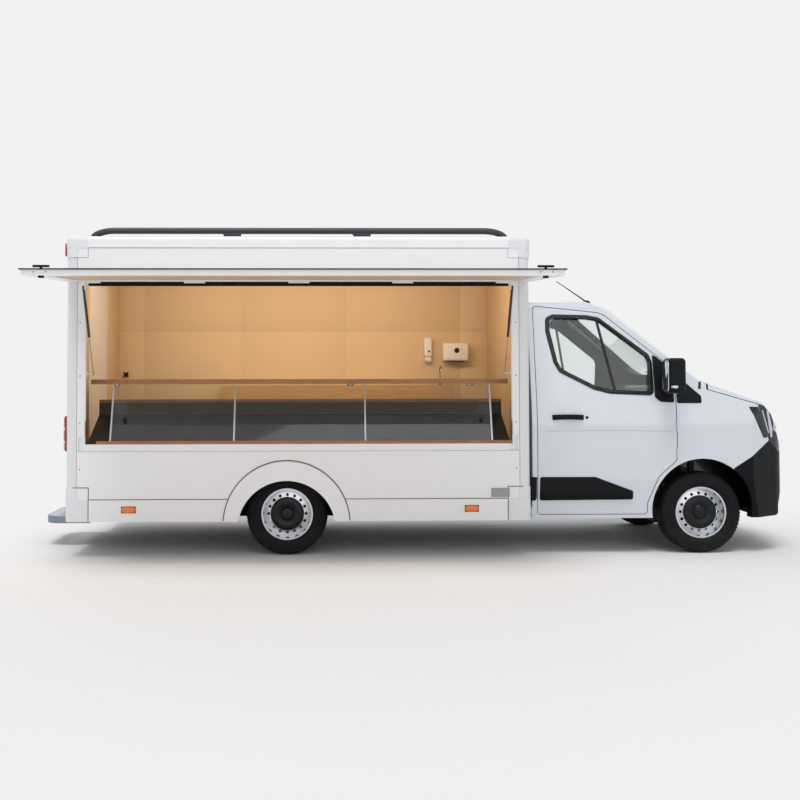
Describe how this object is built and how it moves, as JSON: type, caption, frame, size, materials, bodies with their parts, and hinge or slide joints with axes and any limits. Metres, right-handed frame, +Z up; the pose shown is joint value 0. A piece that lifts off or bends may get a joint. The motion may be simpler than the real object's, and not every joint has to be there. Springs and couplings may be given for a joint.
{
  "type": "mobile shop truck",
  "caption": "White mobile shop truck: van cab with a sales box, an open serving hatch on gas struts, counter and glazed display.",
  "frame": {"origin": "on the ground under the middle of the whole vehicle's box, hatch open", "axes": "+X forward, +Y to the left, +Z up; the serving hatch faces -Y"},
  "size_m": [6.7186, 3.8467, 2.8209],
  "materials": {
    "paint_white": "gloss",
    "panel_white": "satin",
    "frame_black": "satin",
    "axle_iron": "matte",
    "engine_grey": "matte",
    "tyre_rubber": "matte",
    "wheel_silver": "satin",
    "clear_glass": "clear",
    "black_plastic": "matte",
    "lamp_clear": "gloss",
    "lamp_red": "gloss",
    "seat_cloth": "woven",
    "dash_plastic": "matte",
    "seal_rubber": "matte",
    "rail_grey": "satin",
    "step_metal": "satin",
    "strut_black": "satin",
    "strut_steel": "polished",
    "counter_board": "oiled",
    "case_slate": "matte",
    "steel_sheet": "brushed",
    "floor_grey": "matte"
  },
  "bodies": {
    "vehicle": {"chassis_frame": "frame_black", "rear_axle": "axle_iron", "front_suspension": "axle_iron", "engine_block": "engine_grey", "box_floor": "floor_grey", "box_front_wall": "panel_white", "box_far_wall": "panel_white", "box_rear_wall": "panel_white", "sales_wall": "panel_white", "box_roof": "panel_white", "corner_posts": "panel_white", "corner_caps": "panel_white", "side_skirts": "panel_white", "arch_flares": "panel_white", "rear_lamps": "lamp_red", "rear_step": "step_metal", "roof_rails": "rail_grey", "counter_wood": "counter_board", "display_case": "case_slate", "display_glass": "clear_glass", "display_posts": "steel_sheet", "back_counter": "steel_sheet", "cab_shell": "paint_white", "front_wings": "paint_white", "windscreen": "clear_glass", "front_bumper": "black_plastic", "grille": "black_plastic", "headlamps": "lamp_clear", "cab_seats": "seat_cloth", "dashboard": "dash_plastic"},
    "hatch": {"hatch_panel": "panel_white", "hatch_seal": "seal_rubber", "hatch_latches": "black_plastic"},
    "strut_rear_tube": {"strut_rear_cylinder": "strut_black"},
    "strut_rear_bar": {"strut_rear_rod": "strut_steel"},
    "strut_front_tube": {"strut_front_cylinder": "strut_black"},
    "strut_front_bar": {"strut_front_rod": "strut_steel"},
    "rear_door": {"rear_door": "panel_white"},
    "bonnet": {"bonnet": "paint_white"},
    "cab_door_left": {"door_left": "paint_white", "door_glass_left": "clear_glass", "mirror_left": "black_plastic"},
    "cab_door_right": {"door_right": "paint_white", "door_glass_right": "clear_glass", "mirror_right": "black_plastic"},
    "steered_left": {"knuckle_left": "axle_iron"},
    "steered_right": {"knuckle_right": "axle_iron"},
    "wheel_rear_left": {"tyre_rear_left": "tyre_rubber", "rim_rear_left": "wheel_silver"},
    "wheel_rear_right": {"tyre_rear_right": "tyre_rubber", "rim_rear_right": "wheel_silver"},
    "wheel_front_left": {"tyre_front_left": "tyre_rubber", "rim_front_left": "wheel_silver"},
    "wheel_front_right": {"tyre_front_right": "tyre_rubber", "rim_front_right": "wheel_silver"}
  },
  "joints": [
    {"name": "hatch_close", "type": "hinge", "parent": "vehicle", "child": "hatch", "pos_m": [-1.035, -0.465, 2.34], "axis": [1, 0, 0], "range_deg": [0, 87]},
    {"name": "strut_rear_swing", "type": "hinge", "parent": "hatch", "child": "strut_rear_tube", "pos_m": [-2.803, -0.75188, 2.27289], "axis": [1, 0, 0], "range_deg": [-109.52, 0]},
    {"name": "strut_rear_slide", "type": "slide", "parent": "strut_rear_tube", "child": "strut_rear_bar", "axis": [0, 0.5021, -0.8648], "range_m": [-0.33191, 0]},
    {"name": "strut_front_swing", "type": "hinge", "parent": "hatch", "child": "strut_front_tube", "pos_m": [0.742, -0.75188, 2.27289], "axis": [1, 0, 0], "range_deg": [-109.52, 0]},
    {"name": "strut_front_slide", "type": "slide", "parent": "strut_front_tube", "child": "strut_front_bar", "axis": [0, 0.5021, -0.8648], "range_m": [-0.33191, 0]},
    {"name": "rear_door_swing", "type": "hinge", "parent": "vehicle", "child": "rear_door", "pos_m": [-3.012, 1.0445, 1.475], "axis": [0, 0, -1], "range_deg": [0, 110]},
    {"name": "bonnet_lift", "type": "hinge", "parent": "vehicle", "child": "bonnet", "pos_m": [2.515, 0.642, 1.468], "axis": [0, -1, 0], "range_deg": [0, 50]},
    {"name": "cab_door_left_swing", "type": "hinge", "parent": "vehicle", "child": "cab_door_left", "pos_m": [2.22425, 1.679, 1.12], "axis": [0, 0, -1], "range_deg": [0, 70]},
    {"name": "cab_door_right_swing", "type": "hinge", "parent": "vehicle", "child": "cab_door_right", "pos_m": [2.22425, -0.395, 1.12], "axis": [0, 0, 1], "range_deg": [0, 70]},
    {"name": "steer_left", "type": "hinge", "parent": "vehicle", "child": "steered_left", "pos_m": [2.445, 1.342, 0.35], "axis": [0, 0, 1], "range_deg": [-35, 35]},
    {"name": "roll_rear_left", "type": "hinge", "parent": "vehicle", "child": "wheel_rear_left", "pos_m": [-1.14, 1.5145, 0.35], "axis": [0, 1, 0], "continuous": true},
    {"name": "roll_front_left", "type": "hinge", "parent": "steered_left", "child": "wheel_front_left", "pos_m": [2.445, 1.5145, 0.35], "axis": [0, 1, 0], "continuous": true},
    {"name": "steer_right", "type": "hinge", "parent": "vehicle", "child": "steered_right", "pos_m": [2.445, -0.058, 0.35], "axis": [0, 0, 1], "range_deg": [-35, 35]},
    {"name": "roll_rear_right", "type": "hinge", "parent": "vehicle", "child": "wheel_rear_right", "pos_m": [-1.14, -0.2305, 0.35], "axis": [0, 1, 0], "continuous": true},
    {"name": "roll_front_right", "type": "hinge", "parent": "steered_right", "child": "wheel_front_right", "pos_m": [2.445, -0.2305, 0.35], "axis": [0, 1, 0], "continuous": true}
  ],
  "couplings": [
    {"joint": "strut_rear_swing", "follows": "hatch_close", "ratio": -1.2464},
    {"joint": "strut_rear_slide", "follows": "hatch_close", "m_per_rad": -0.21642},
    {"joint": "strut_front_swing", "follows": "hatch_close", "ratio": -1.2464},
    {"joint": "strut_front_slide", "follows": "hatch_close", "m_per_rad": -0.21642},
    {"joint": "steer_right", "follows": "steer_left", "ratio": 1}
  ]
}
